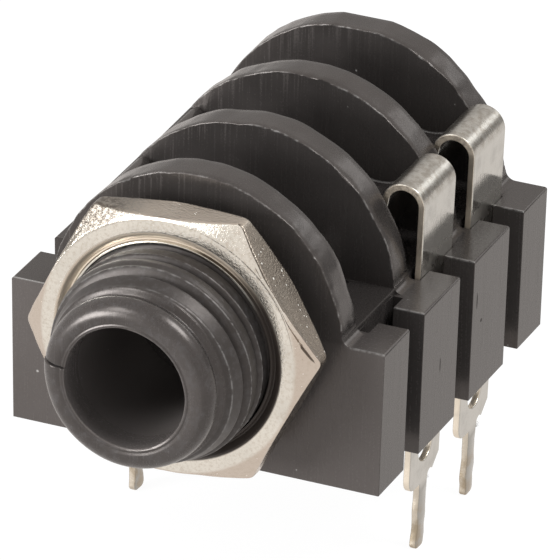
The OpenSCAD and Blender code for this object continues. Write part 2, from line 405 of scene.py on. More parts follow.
def tone(colour, share=1.0):
    """A plain colour, made lighter or darker by share."""
    return [channel * share for channel in colour[:3]] + [1.0]


def split(vector):
    """The X, Y and Z of a vector socket."""
    node = vector.id_data.nodes.new("ShaderNodeSeparateXYZ")
    feed(node.inputs[0], vector)
    return tuple(node.outputs)


def in_millimetres(tree, stretch=(1.0, 1.0, 1.0)):
    """Object coordinates in millimetres, stretched along the axes."""
    place = tree.nodes.new("ShaderNodeTexCoord")
    scaled = tree.nodes.new("ShaderNodeMapping")
    set_in(scaled, Vector=place.outputs["Object"], Scale=[s / MM for s in stretch])
    return scaled.outputs["Vector"]


def noise_of(vector, scale, detail=2.0, roughness=0.5):
    node = vector.id_data.nodes.new("ShaderNodeTexNoise")
    set_in(node, Vector=vector, Scale=scale, Detail=detail, Roughness=roughness)
    return node.outputs["Fac"]


def speck_group():
    """Sparse round specks as a mask, for dust on plastic, and for pits, lumps, stains and painted glints in
    plating.
    """
    found = bpy.data.node_groups.get("specks")
    if found:
        return found
    group = bpy.data.node_groups.new("specks", "ShaderNodeTree")
    group.interface.new_socket("Vector", in_out="INPUT", socket_type="NodeSocketVector")
    for name in ("Spacing", "Size", "Share"):
        group.interface.new_socket(name, in_out="INPUT", socket_type="NodeSocketFloat")
    group.interface.new_socket("Mask", in_out="OUTPUT", socket_type="NodeSocketFloat")
    given = group.nodes.new("NodeGroupInput").outputs
    cells = group.nodes.new("ShaderNodeTexVoronoi")
    set_in(cells, Vector=given["Vector"], Scale=maths("DIVIDE", 1.0, given["Spacing"]))
    random = group.nodes.new("ShaderNodeSeparateColor")
    feed(random.inputs[0], cells.outputs["Color"])
    chosen = maths("LESS_THAN", random.outputs[0], given["Share"])
    own_size = times(given["Size"], plus(random.outputs[1], 0.3))
    near = maths("LESS_THAN", cells.outputs["Distance"], own_size)
    set_in(group.nodes.new("NodeGroupOutput"), Mask=times(chosen, near))
    return group


def specks(vector, spacing, size, share):
    node = vector.id_data.nodes.new("ShaderNodeGroup")
    node.node_tree = speck_group()
    set_in(node, Vector=vector, Spacing=spacing, Size=size, Share=share)
    return node.outputs["Mask"]


class Finish:
    """A material in the making: where a point lies and which way it faces, and the colour painted so far."""

    def __init__(self, name, colour):
        self.material = bpy.data.materials.new(name)
        self.material.use_nodes = True
        self.tree = self.material.node_tree
        self.shader = self.tree.nodes["Principled BSDF"]
        self.place = in_millimetres(self.tree)
        self.x, self.y, self.z = split(self.place)
        self.across = maths("SQRT", plus(maths("POWER", self.x, 2.0), maths("POWER", self.z, 2.0)))
        geometry = self.tree.nodes.new("ShaderNodeNewGeometry")
        self.facing_x, self.facing_y, self.facing_z = split(geometry.outputs["True Normal"])
        self.soft_x, _, self.soft_z = split(geometry.outputs["Normal"])
        self.colour = tone(colour)

    def paint(self, mask, colour, share=1.0):
        """Covers what mask marks with colour, made lighter or darker by share."""
        self.colour = blend(mask, self.colour, tone(colour, share))

    def complete(self, rough, height, strength, distance):
        """Gives the shader its colour, roughness and bump, and returns the material."""
        bump = self.tree.nodes.new("ShaderNodeBump")
        set_in(bump, Strength=strength, Distance=distance, Height=height)
        set_in(self.shader, Base_Color=self.colour, Roughness=rough, Normal=bump.outputs["Normal"])
        return self.material


# The moulding's finish

def light_front(coat, colours):
    """Painted light on the front face, most on the high part of the left block, and a painted highlight along
    that block's top edge. Returns its mask.
    """
    on_front = times(ramp(coat.y, -0.12, -0.04), ramp(coat.y, 0.3, 0.1), ramp(coat.z, 0.5, 0.1))
    coat.paint(on_front, colours.moulding, 2.2)
    lit_high_left = times(ramp(coat.x, -CORE_HALF + 0.5, -CORE_HALF - 0.5), ramp(coat.z, -6.5, -2.0), on_front)
    coat.paint(lit_high_left, colours.moulding, 2.6)
    at_top = ramp(coat.z, RIB_TOP - 0.1, RIB_TOP - 0.05)
    on_left = ramp(coat.x, -CORE_HALF, -CORE_HALF - 0.2)
    coat.paint(times(at_top, on_front, on_left), colours.worn_edge_and_highlight)
    return on_front


def mark_fins(coat, black, drag, on_front):
    """The fins' faces: painted light that makes them paler on the right, with drag marks below the rims on
    the left.
    """
    on_face = ramp(maths("ABSOLUTE", coat.facing_y), 0.8, 0.95)
    lit_right = times(on_face, ramp(coat.x, 0.0, 6.0), without(on_front))
    coat.paint(lit_right, black, 1.8)
    below_rim = ramp(coat.across, FIN_RADIUS - 1.6, FIN_RADIUS - 0.2)
    below_rim = times(below_rim, ramp(coat.z, 0.5, 4.0), ramp(coat.x, 2.0, -3.0))
    marked = times(on_face, plus(times(below_rim, 0.7), 0.06))
    coat.paint(times(ramp(drag, 0.5, 0.68), marked), black, 2.7)


def tone_blocks(coat, colours, ragged):
    """Painted light on the tops of the ledge and blocks, most at the front right, painted shade on the right
    blocks' sides, and edge wear at the right blocks' fronts.
    """
    on_top = times(ramp(coat.facing_z, 0.8, 0.95), ramp(coat.z, 1.0, 0.6))
    on_right = ramp(coat.x, CORE_HALF, CORE_HALF + 0.2)
    coat.paint(on_top, colours.moulding, 1.1)
    coat.paint(times(on_top, on_right, ramp(coat.y, 11.0, 9.5)), colours.moulding, 1.8)
    coat.paint(times(ramp(coat.facing_x, 0.8, 0.95), on_right), colours.moulding, 0.25)
    at_top = ramp(coat.z, RIB_TOP - 0.1, RIB_TOP - 0.05)
    near_edge = times(at_top, on_right, ramp(ragged, 0.4, 0.52))
    for front in BLOCK_FRONTS:
        off = maths("ABSOLUTE", maths("SUBTRACT", coat.y, front))
        coat.paint(times(ramp(off, 0.14, 0.07), near_edge, 0.75), colours.worn_edge_and_highlight)


def whiten_edges(coat, colours, ragged, whitening):
    """Whitened nicks along the rims, and painted highlight lines along the left block's edge and in the fins'
    feet beside the contacts.
    """
    clusters = noise_of(coat.place, 0.55)
    nicks = times(ramp(ragged, 0.45, 0.62), ramp(clusters, 0.34, 0.62))
    # Painted highlight: the left block's edge and the fins' feet are whitened whole, not in nicks
    nicks = maths("MAXIMUM", nicks, ramp(coat.x, -CORE_HALF + 0.1, -CORE_HALF - 0.1))
    at_foot = times(ramp(coat.x, 3.4, 3.8), ramp(coat.x, 6.9, 6.5), ramp(coat.z, 3.8, 3.5))
    nicks = maths("MAXIMUM", nicks, times(at_foot, 0.9))
    coat.paint(times(nicks, whitening), colours.worn_edge_and_highlight)


def tone_bush(coat, sizes, colours, outside_bore):
    """The bush: a darker thread, a grey bloom and pale crests, their line partly wear and partly a painted
    highlight. Returns the mask of the thread.
    """
    on_bush = ramp(coat.y, -0.05, -0.2)
    on_thread = times(ramp(coat.y, LEAD_END[0] - 0.14, LEAD_END[0] + 0.26), on_bush)
    coat.paint(times(on_thread, outside_bore, 0.75), colours.moulding, 0.4)
    bloom = noise_of(coat.place, 2.6, detail=6.0, roughness=0.7)
    coat.paint(times(ramp(bloom, 0.45, 0.72), on_bush, outside_bore, 0.32), BLOOM_GREY)
    turn = maths("DIVIDE", maths("ARCTAN2", coat.z, coat.x), 2.0 * math.pi)
    phase = plus(maths("DIVIDE", coat.y, sizes.thread_pitch / MM), turn, CREST_PHASE)
    off_crest = maths("ABSOLUTE", maths("SUBTRACT", maths("FRACT", phase), 0.5))
    # The pale crest line: wear, with a painted highlight
    crests = times(ramp(off_crest, 0.05, 0.015), on_thread, ramp(bloom, 0.4, 0.6), outside_bore)
    coat.paint(times(crests, 0.55), colours.worn_edge_and_highlight)
    return on_thread


def scuff_blocks(coat, ragged):
    """Dark scuffs with ragged outlines on the right blocks' sides. Returns their mask."""
    scuffed = 0.0
    for y, z, wide, tall in SCUFFS:
        aside = maths("DIVIDE", maths("SUBTRACT", coat.y, y), wide)
        above = maths("DIVIDE", maths("SUBTRACT", coat.z, z), tall)
        off = plus(maths("POWER", aside, 2.0), maths("POWER", above, 2.0), times(ragged, 1.6))
        scuff = times(ramp(off, 1.7, 0.9), ramp(coat.x, RIB_SIDE - 0.35, RIB_SIDE - 0.15))
        scuffed = maths("MAXIMUM", scuff, scuffed)
    coat.paint(scuffed, SCUFF_BLACK)
    return scuffed


def moulding_finish(sizes, colours, name, whitening):
    """Satin black plastic with drag marks, dust and painted light and shade; the last argument says how far
    its nicked edges are whitened and its painted highlight lines drawn.
    """
    black = colours.moulding
    coat = Finish(name, black)
    drag = noise_of(in_millimetres(coat.tree, (7.0, 7.0, 0.16)), 1.0, detail=3.0, roughness=0.6)
    cloud = noise_of(coat.place, 0.55, detail=4.0)
    grain = noise_of(coat.place, 9.0, detail=3.0)
    ragged = noise_of(coat.place, 2.6, detail=5.0, roughness=0.65)
    coat.paint(ramp(cloud, 0.35, 0.75), black, 1.35)
    on_front = light_front(coat, colours)
    mark_fins(coat, black, drag, on_front)
    tone_blocks(coat, colours, ragged)
    outside_bore = ramp(coat.across, BORE_RADIUS + 0.02, BORE_RADIUS + 0.1)
    # Painted light inside the bore, made lighter than the moulding outside
    coat.paint(without(outside_bore), black, 3.3)
    if whitening:
        whiten_edges(coat, colours, ragged, whitening)
    on_thread = tone_bush(coat, sizes, colours, outside_bore)
    scuffed = scuff_blocks(coat, ragged)
    coat.paint(times(specks(coat.place, 0.8, 0.07, 0.16), 0.7), DUST_GREY)
    set_in(coat.shader, IOR=1.5, Specular_Tint=(1.0, 0.92, 0.88, 1.0))
    rough = plus(times(drag, 0.14), times(grain, 0.08), 0.15, times(on_thread, 0.16), times(scuffed, 0.55))
    height = plus(times(drag, 0.7), times(grain, 0.5))
    return coat.complete(rough, height, 0.22, 0.02 * MM)


# The platings

def nut_finish(colours):
    """Warm nickel, smooth on the face and pitted on the bevels round it, with painted shade on the bevels,
    flats and countersink and painted highlights on nodules and glints.
    """
    coat = Finish("nickel_nut", colours.nut_plate)
    cloud = noise_of(coat.place, 0.35, detail=3.0)
    coat.paint(ramp(cloud, 0.4, 0.75), colours.nut_plate, 0.86)
    bevel = ramp(coat.across, NUT_FACE_RADIUS - 0.1, NUT_FACE_RADIUS + 0.15)

    # Painted shade in the countersink behind the lip, darkest towards the lower right
    outside = ramp(coat.across, NUT_SINK + 0.05, NUT_SINK + 0.16)
    sink = times(ramp(coat.across, 5.7, 5.76), without(outside))
    coat.paint(times(sink, 0.75), SINK_SHADE_BROWN)
    towards = maths("SUBTRACT", coat.x, times(coat.z, 0.6))
    shaded_sink = times(ramp(towards, 0.0, 3.5), without(outside))
    dulled = maths("MAXIMUM", shaded_sink, times(sink, 0.55))

    # Painted shade: tan on the lower bevels and the flats, darker on the upper left bevel; and a mottled face
    on_flats = times(ramp(maths("ABSOLUTE", coat.facing_y), 0.5, 0.3), bevel)
    coat.paint(times(bevel, ramp(coat.z, 4.0, 1.5), 0.85), BEVEL_SHADE_TAN)
    coat.paint(times(on_flats, 0.85), FLAT_SHADE_TAN)
    coat.paint(times(ramp(coat.x, -1.2, -2.8), ramp(coat.z, 2.5, 4.0), bevel, 0.9), BEVEL_SHADE)
    mottle = noise_of(coat.place, 5.0, detail=6.0, roughness=0.7)
    coat.paint(times(ramp(mottle, 0.44, 0.7), 0.5), FACE_MOTTLE)

    # Nodules of the plating, painted white as highlights, pits, and a crust at the upper left corner
    nodules_and_highlights = times(specks(coat.place, 0.3, 0.07, 0.4), bevel)
    coat.paint(nodules_and_highlights, NODULE_HIGHLIGHT)
    pits = specks(coat.place, 0.36, 0.06, 0.2)
    coat.paint(times(pits, 0.5), PIT_BROWN)
    corner = times(ramp(coat.x, -2.2, -3.4), ramp(coat.z, 4.6, 5.6), bevel)
    crust = noise_of(coat.place, 5.5, detail=4.0, roughness=0.75)
    coat.paint(times(ramp(crust, 0.42, 0.56), corner), BEVEL_CRUST)

    # The upper right flat, darkened with painted shade, with painted glints, and painted shade along the
    # rounded crease at its front edge
    flat_turn = math.radians(NUT_TURN) + HALF_FLAT
    outwards = plus(times(coat.soft_x, math.cos(flat_turn)), times(coat.soft_z, math.sin(flat_turn)))
    right_flat = ramp(outwards, 0.93, 0.98)
    coat.paint(times(right_flat, 0.45), FLAT_SHADE)
    glints = times(specks(coat.place, 0.25, 0.2, 0.5), right_flat, ramp(cloud, 0.46, 0.54))
    coat.paint(glints, GLINT_BRIGHT)
    crease = times(ramp(outwards, 0.6, 0.68), ramp(outwards, 0.94, 0.86))
    crease = times(crease, ramp(coat.y, NUT_FRONT + 0.9, NUT_FRONT + 0.7))
    coat.paint(times(crease, 0.9), CREASE_SHADE)
    # Painted shade over the countersink's lower right
    coat.paint(shaded_sink, SINK_SHADE)
    set_in(coat.shader, Metallic=without(maths("MAXIMUM", times(dulled, 0.95), glints)))

    lumps = noise_of(coat.place, 7.5, detail=4.0, roughness=0.6)
    fine = noise_of(coat.place, 14.0)
    by_sink = times(ramp(coat.across, NUT_FACE_RADIUS, NUT_SINK + 0.09), outside)
    uneven = plus(times(bevel, 0.8), times(by_sink, 0.45), 0.08)
    raised = times(nodules_and_highlights, plus(on_flats, 0.5))
    height = plus(times(lumps, uneven), times(fine, 0.06), raised, times(pits, -0.1))
    rough = plus(times(bevel, 0.05), times(cloud, 0.08), 0.1, times(dulled, 0.5), times(corner, 0.15))
    return coat.complete(rough, height, 0.5, 0.07 * MM)


def strip_finish(name, colour, rough_low, uneven, lengthwise):
    """Nickel on rolled strip with faint marks along its length; uneven is the height of its lumps."""
    coat = Finish(name, colour)
    lines = noise_of(in_millimetres(coat.tree, lengthwise), 1.0, detail=3.0, roughness=0.6)
    cloud = noise_of(coat.place, 0.8, detail=4.0, roughness=0.6)
    coat.paint(ramp(cloud, 0.42, 0.72), colour, 0.8)
    coat.paint(ramp(coat.z, PIN_TOP + 0.4, PIN_TOP - 0.2), colour, 0.7)
    browned = times(ramp(coat.z, PIN_TOP - 0.6, PIN_TOP - 2.0), ramp(cloud, 0.4, 0.58))
    coat.paint(times(browned, 0.7), PIN_BROWN)
    bent = ramp(coat.z, LOOP_HEIGHT - 0.1, LOOP_HEIGHT + 0.5)
    dapple = noise_of(coat.place, 3.2, detail=5.0, roughness=0.7)
    coat.paint(times(ramp(dapple, 0.42, 0.62), bent, 0.6), BEND_SHADE)
    coat.paint(times(specks(coat.place, 0.5, 0.09, 0.18), 0.4), STRIP_STAIN)
    above_slot = times(ramp(coat.z, 2.0, 0.8), ramp(coat.z, -1.0, 0.0))
    rough = plus(times(cloud, 0.07), times(lines, 0.05), rough_low, times(bent, 0.17),
                 times(above_slot, cloud, 0.35))
    lumps = noise_of(coat.place, 6.0, detail=3.0, roughness=0.6)
    height = plus(lines, times(cloud, 1.5), times(lumps, uneven))
    set_in(coat.shader, Metallic=1.0)
    return coat.complete(rough, height, 0.12, 0.03 * MM)


# The moulded body

def eased(share):
    """0 to 1 with a slow start and end."""
    return 0.5 - 0.5 * math.cos(math.pi * share)


def clamp(share):
    return min(1.0, max(0.0, share))


def bush_outline(sizes):
    """(Y, radius, share of thread) along the bush: over the thread, round the nose and back in the bore."""
    full = sizes.bush_radius / MM - CREST_EASE
    line = []
    for i in range(THREAD_ROWS + 1):
        y = BUSH_START + (LEAD_END[0] - BUSH_START) * i / THREAD_ROWS
        radius = full
        if y <= THREAD_FULL:
            fall = (y - THREAD_FULL) / (LEAD_END[0] - THREAD_FULL)
            radius = full + (LEAD_END[1] - full) * fall ** 1.15
        into = clamp((THREAD_REAR + RUN_IN - y) / RUN_IN)
        out = clamp((y - LEAD_END[0]) / RUN_OUT)
        line.append((y, radius, into * (0.35 + 0.65 * out)))
    swell = (MOUTH + NOSE_ROUND, NOSE_RADIUS)
    for start, end, steps in ((LEAD_END, NECK, 8), (NECK, swell, 6)):
        for i in range(1, steps + 1):
            y = start[0] + (end[0] - start[0]) * i / steps
            line.append((y, start[1] + (end[1] - start[1]) * eased(i / steps), 0.0))
    for i in range(1, 17):
        a = math.radians(90.0 * i / 16)
        radius = NOSE_RADIUS - NOSE_ROUND * (1.0 - math.cos(a))
        line.append((swell[0] - NOSE_ROUND * math.sin(a), radius, 0.0))
    line += [(MOUTH + depth, radius, 0.0) for depth, radius in MOUTH_LIP]
    back = line[-1][0]
    for i in range(1, 13):
        line.append((back + (BUSH_START - back) * i / 12, BORE_RADIUS, 0.0))
    return line


def thread_dip(phase):
    """Depth, 0 to 1, of the rounded groove at this share of a turn; below 0 on the fine ridge beside it."""
    from_groove = (phase % 1.0) - 0.5
    if abs(from_groove) < GROOVE_HALF:
        return 0.5 + 0.5 * math.cos(math.pi * from_groove / GROOVE_HALF)
    return -RIDGE_HEIGHT * math.exp(-((from_groove - RIDGE_OFF) / RIDGE_WIDTH) ** 2)


def bush_turns():
    """Angles of the bush's columns, close together at the parting groove."""
    even = [360.0 * i / BUSH_COLUMNS for i in range(BUSH_COLUMNS + 1)]
    close = [PARTING_ANGLE + 0.25 * i for i in range(-8, 9)]
    return [math.radians(a) for a in sorted([a for a in even if abs(a - PARTING_ANGLE) > 2.2] + close)]


def make_bush(sizes):
    """The threaded bush as a closed ring about the jack axis."""
    turns = bush_turns()
    line = bush_outline(sizes)
    pitch, depth = sizes.thread_pitch / MM, sizes.thread_depth / MM

    def corner_at(column, row):
        turn = turns[column]
        y, radius, thread = line[row]
        if thread > 0.0:
            radius -= depth * thread * thread_dip(y / pitch + turn / (2.0 * math.pi) + THREAD_PHASE)
        # The mould's parting line: a fine groove on the left of the nose, its lower half a little proud
        if y < NECK[0] + 0.1 and radius > BORE_RADIUS + 0.04:
            off = (turn - math.radians(PARTING_ANGLE)) * radius
            groove = PARTING_DEPTH * math.exp(-(off / PARTING_WIDTH) ** 2)
            radius -= groove
            y += groove
            if off > 0.0:
                radius += PARTING_STEP * math.exp(-(off / PARTING_SPREAD) ** 2)
        # Slight unevenness of the soft moulding
        if y < -0.05 and radius > BORE_RADIUS + 0.02:
            radius += BUSH_WAVE * noise.noise(Vector((math.cos(turn) * 2.1, y * 0.7, math.sin(turn) * 2.1)))
        return Vector((radius * math.cos(turn), y, radius * math.sin(turn)))

    return rolled_grid(len(turns) - 1, len(line) - 1, corner_at)


def join_bush(body, bush):
    """Joins the bush to the opened front of the body: the outer rings are bridged, then the bore's."""
    work_on(body)
    bush.select_set(True)
    bpy.ops.object.join()
    mesh = body.data
    for least, most in OPEN_RINGS:
        start_picks(mesh, "edges")
        meeting = edge_faces(mesh)
        for edge in mesh.edges:
            is_open = len(meeting.get(edge.key, ())) == 1
            edge.select = is_open and all(
                least < math.hypot(end.x, end.z) < most and end.y < 0.01 for end in edge_ends(mesh, edge))
        edit(body)
        bpy.ops.mesh.bridge_edge_loops()
        leave()
    face_outwards(body)


def fin_at(y):
    """The front of the fin that holds this Y, or None."""
    for front in FIN_FRONTS:
        if front - 0.01 <= y <= front + FIN_THICK + 0.01:
            return front
    return None


def is_rim(face):
    place = face.center / MM
    return (abs(math.hypot(place.x, place.z) - FIN_RADIUS) < 0.1 and place.z > 0.8
            and abs(face.normal.y) < 0.2 and fin_at(place.y) is not None)


def roughen_rims(body, sizes):
    """Fine facets on the fins' rims, with soft waves and small nicks at their front edges."""
    start_picks(body.data, "faces")
    rims = [face for face in body.data.polygons if is_rim(face)]
    if not rims:
        raise RuntimeError("the fins' rims were not found on the body")
    for face in rims:
        face.select = True
    edit(body)
    bpy.ops.mesh.subdivide(number_cuts=3)
    leave()
    depth = sizes.nick_depth / MM
    for corner in body.data.vertices:
        place = corner.co / MM
        front = fin_at(place.y)
        if front is None or place.z < 0.75 or abs(math.hypot(place.x, place.z) - FIN_RADIUS) > 0.05:
            continue
        turn = math.atan2(place.z, place.x)
        along = turn * FIN_RADIUS
        wave = RIM_WAVE * noise.noise(Vector((along * 0.5, place.y * 0.35, front)))
        wave += RIM_RIPPLE * noise.noise(Vector((along * 1.4, place.y * 0.8, front + 5.0)))
        new = FIN_RADIUS + RIM_SWELL + wave
        if front == FIN_FRONTS[3]:
            # The gate was cut off flat here
            new = min(new, GATE_CUT / math.sin(turn))
        if place.y < front + 0.02:
            cluster = 0.55 + 0.9 * noise.noise(Vector((along * 0.4, front * 2.3, 7.0)))
            bite = noise.noise(Vector((along * 1.3, front * 3.1, 4.0)))
            bite = cluster * (bite + 0.6 * noise.noise(Vector((along * 3.6, front, 9.0))))
            new -= depth * max(0.0, bite - 0.05)
            place.y += 0.5 * depth * max(0.0, bite - 0.2)
        corner.co = Vector((new * math.cos(turn), place.y, new * math.sin(turn))) * MM


def sharpen_blocks(body):
    """Draws the bevel on the blocks' outer top edges in to the fine lines that the real edges show."""
    lines = []
    for side, line in ((-1.0, LEFT_EDGE_LINE), (1.0, RIGHT_EDGE_LINE)):
        drawn_in = (RIB_BEVEL - line) * MM
        lines.append(((side * (RIB_SIDE - RIB_BEVEL), RIB_TOP), (side * drawn_in, 0.0, 0.0)))
        lines.append(((side * RIB_SIDE, RIB_TOP - RIB_BEVEL), (0.0, 0.0, drawn_in)))
    for (x, z), move in lines:
        start_picks(body.data, "corners")
        for corner in body.data.vertices:
            corner.select = abs(corner.co.x / MM - x) < 0.03 and abs(corner.co.z / MM - z) < 0.03
        edit(body)
        bpy.ops.transform.translate(value=move)
        leave()


def body_edge(first, second):
    """How much the moulding rounds an edge: rims and the fins' feet by the contacts most, blocks less."""
    middle = (first + second) / 2
    if math.hypot(middle.x, middle.z) > FIN_RADIUS - 0.25 and middle.z > 1.0:
        return 1.0
    at_foot = any(abs(first.y - front) + abs(second.y - front) < 0.02 for front in FIN_FRONTS[2:])
    if at_foot and 3.6 < middle.x < 6.2 and 2.3 < middle.z < 3.6:
        return 1.0
    if abs(middle.x) > CORE_HALF + 0.02 and middle.z < RIB_TOP + 0.02 and (first - second).length > 0.2:
        return 1.0 if middle.x < -CORE_HALF and middle.y < 0.1 and middle.z > -1.0 else 0.5
    return 0.0


def whitened_face(face):
    """Whether a rounded edge's face is whitened: above the core, for the rims' wear and the painted highlight
    in the fins' feet, or along the left block's front, for its painted highlight line.
    """
    place = face.center / MM
    on_rim = place.z > 1.0 and abs(place.x) < FIN_RADIUS
    return on_rim or place.x < -CORE_HALF and place.y < 0.2 and place.z > -0.2


class JACK_OT_moulded_body(bpy.types.Operator):
    """Moulds the finned body with its threaded bush"""

    bl_idname = "jack.moulded_body"
    bl_label = "Moulded body"

    def execute(self, context):
        sizes, colours = context.scene.socket_sizes, context.scene.socket_colours
        body = copy_of("socket_body", "moulded_body", merge=0.04)
        edit_all(body)
        bpy.ops.mesh.bisect(plane_co=(0.0, BUSH_ROOT * MM, 0.0), plane_no=(0.0, 1.0, 0.0), clear_inner=True,
                            threshold=0.0001 * MM)
        leave()
        sharpen_blocks(body)
        roughen_rims(body, sizes)
        finish = moulding_finish(sizes, colours, "black_moulding", 0.0)
        body.data.materials.append(finish)
        body.data.materials.append(moulding_finish(sizes, colours, "black_moulding_edges", 0.8))
        mark_edges(body, body_edge, math.radians(30.0), room=0.12)
        round_edges(body, sizes.edge_round, 2)
        for face in body.data.polygons:
            if face.material_index == 1 and not whitened_face(face):
                face.material_index = 0
        bush = make_bush(sizes)
        bush.data.materials.append(finish)
        join_bush(body, bush)
        smooth(body, 32.0)
        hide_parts("socket_body")
        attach(body, "housing")
        return {"FINISHED"}


# The nut

def nut_turns():
    """Columns of the nut, close together at the corners: angle, and angle from the middle of its flat."""
    steps = 22
    half = [30.0 * (1.0 - (1.0 - i / steps) ** 1.7) for i in range(steps + 1)]
    flat = [-a for a in reversed(half[1:])] + half[:-1]
    columns = [(NUT_TURN + 30.0 + 60.0 * k + a, a) for k in range(6) for a in flat]
    return columns + [(columns[0][0] + 360.0, columns[0][1])]


def nut_reach(off):
    """Distance from the axis to the hexagon with rounded corners, off degrees from a flat's middle."""
    inner = NUT_FLAT - NUT_CORNER
    off = math.radians(abs(off))
    if NUT_FLAT * math.tan(off) <= inner * math.tan(HALF_FLAT):
        return NUT_FLAT / math.cos(off)
    far = inner / math.cos(HALF_FLAT)
    aside = HALF_FLAT - off
    return far * math.cos(aside) + math.sqrt(NUT_CORNER ** 2 - (far * math.sin(aside)) ** 2)


def soft_corner(start, corner, end, swell, out):
    """Five points of a rounded corner, its middle swollen along out, with a groove before it."""
    points = []
    for i in range(5):
        u = i / 4
        point = start * (1.0 - u) ** 2 + corner * 2.0 * u * (1.0 - u) + end * u ** 2
        points.append(point + out * swell * (math.sin(math.pi * u) - 0.6 * (1.0 - u) ** 6))
    return points


def nut_outline(reach, swell, rounding):
    """(Y, radius) round the nut's section: hole, lip, face, bevel, flat, and back to the hole."""
    line = [Vector(spot) for spot in NUT_LIP]
    lip_end = line[-1].y
    for radius in NUT_FACE_RINGS:
        fall = NUT_DOME * ((radius - lip_end) / (NUT_FACE_RINGS[-1] - lip_end)) ** 2
        line.append(Vector((NUT_FRONT + fall, radius)))
    slope = Vector((math.sin(NUT_BEVEL), math.cos(NUT_BEVEL)))
    first = Vector((NUT_FRONT + NUT_DOME + 0.02, NUT_FACE_RADIUS))
    length = (reach - first.y) / slope.y
    corner = first + slope * length
    soft = min(rounding, 0.75 * length)
    line += [first + slope * (length - soft) * t for t in (0.0, 0.2, 0.4, 0.6, 0.8)]
    line += soft_corner(corner - slope * soft, corner, corner + Vector((soft, 0.0)), swell,
                        Vector((-0.5, 0.866)))
    back_slope = Vector((-slope.x, slope.y))
    back = Vector((NUT_REAR, NUT_FACE_RADIUS))
    back_length = (reach - back.y) / slope.y
    back_corner = back + back_slope * back_length
    back_soft = min(rounding, 0.75 * back_length)
    front_end, back_end = corner.x + soft, back_corner.x - back_soft
    line += [Vector((front_end + (back_end - front_end) * t, reach)) for t in (0.2, 0.4, 0.6, 0.8)]
    line += soft_corner(Vector((back_end, reach)), back_corner, back_corner - back_slope * back_soft, 0.01,
                        Vector((0.5, 0.866)))
    line += [back, Vector((NUT_REAR, NUT_SINK)), Vector((NUT_REAR - NUT_SINK + NUT_HOLE, NUT_HOLE)), line[0]]
    return line


def make_nut(sizes):
    """The nut as a closed ring about the jack axis, with the plating's unevenness."""
    columns = nut_turns()
    lines = []
    for angle, off in columns:
        turn = math.radians(angle)
        around = Vector((math.cos(turn), math.sin(turn), 0.0))
        from_burr = (angle - BURR_ANGLE + 180.0) % 360.0 - 180.0
        swell = 0.012 + 0.05 * max(0.0, noise.noise(around * 6.0))
        swell += BURR_HEIGHT * math.exp(-(from_burr / BURR_SPREAD) ** 2)
        lines.append(nut_outline(nut_reach(off), swell, sizes.nut_round / MM))

    def corner_at(column, row):
        y, radius = lines[column][row]
        turn = math.radians(columns[column][0])
        spot = Vector((radius * math.cos(turn), y, radius * math.sin(turn)))
        if radius > NUT_SINK + 0.05:
            spot.y += NUT_WAVE * noise.noise(spot * 0.9)
            spot *= 1.0 + NUT_WAVE_SHARE * noise.noise(spot * 1.1 + Vector((9.0, 0.0, 0.0)))
        return spot

    nut = rolled_grid(len(columns) - 1, len(lines[0]) - 1, corner_at)
    nut.name = nut.data.name = "plated_nut"
    face_outwards(nut)
    return nut


class JACK_OT_hex_nut(bpy.types.Operator):
    """Forms the hexagon nut with its soft plated edges"""

    bl_idname = "jack.hex_nut"
    bl_label = "Hexagon nut"

    def execute(self, context):
        sizes, colours = context.scene.socket_sizes, context.scene.socket_colours
        nut = make_nut(sizes)
        nut.data.materials.append(nut_finish(colours))
        smooth(nut, 38.0)
        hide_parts("hex_nut")
        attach(nut, "nut")
        return {"FINISHED"}


# The contacts

def wear_pin(strip, seed):
    """Sheared edges of the board pin: cuts across it, then a small shift of the corners at each cut."""
    edit(strip)
    for i in range(PIN_CUTS):
        level = PIN_TOP + (PIN_TIPS + 0.35 - PIN_TOP) * i / (PIN_CUTS - 1)
        bpy.ops.mesh.select_all(action="SELECT")
        bpy.ops.mesh.bisect(plane_co=(0.0, 0.0, level * MM), plane_no=(0.0, 0.0, 1.0), threshold=0.0001 * MM)
    leave()
    for corner in strip.data.vertices:
        place = corner.co / MM
        share = clamp(PIN_TOP + 0.4 - place.z)
        sideways = noise.noise(Vector((place.z * 1.1, place.y * 1.3, seed * 3.7)))
        forwards = noise.noise(Vector((place.z * 1.9, place.y * 1.6, seed * 5.3 + 20.0)))
        corner.co += Vector((PIN_WAVE_X * sideways, PIN_WAVE_Y * forwards, 0.0)) * share * MM


def add_bead(strip, place, radius):
    """A bead of plating on the corner between lug and pin."""
    bpy.ops.mesh.primitive_ico_sphere_add(subdivisions=3, radius=radius * MM, location=Vector(place) * MM)
    bead = bpy.context.object
    for corner in bead.data.vertices:
        corner.co *= 1.0 + 0.25 * noise.noise(corner.co / MM * 9.0)
    work_on(strip)
    bead.select_set(True)
    bpy.ops.object.join()


class JACK_OT_contacts(bpy.types.Operator):
    """Finishes the four stamped contacts"""

    bl_idname = "jack.contacts"
    bl_label = "Strip contacts"

    def execute(self, context):
        sizes, colours = context.scene.socket_sizes, context.scene.socket_colours
        face_finish = strip_finish("nickel_strip", colours.strip_plate, 0.05, 0.5, (0.5, 9.0, 0.5))
        edge_finish = strip_finish("sheared_strip_edge", colours.sheared_edge, 0.34, 4.0, (4.0, 1.0, 1.2))
        for node in ("sleeve_contact", "tip_contact", "sleeve_switch_contact", "tip_switch_contact"):
            strip = copy_of(node, "formed_" + node)
            strip.data.materials.append(face_finish)
            strip.data.materials.append(edge_finish)
            mark_edges(strip, lambda first, second: 1.0, math.radians(50.0))
            round_edges(strip, sizes.strip_round, 3)
            for face in strip.data.polygons:
                in_eye = face.center.z < UNDERSIDE * MM and abs(face.normal.x) < 0.5
                face.material_index = 1 if abs(face.normal.y) > 0.9 or in_eye else 0
            wear_pin(strip, len(node))
            if node in BEADS:
                add_bead(strip, *BEADS[node])
            smooth(strip, 32.0)
            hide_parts(node)
            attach(strip, "housing")
        return {"FINISHED"}


# The stage: camera in degrees, millimetres and pixels, lamps and cards in metres

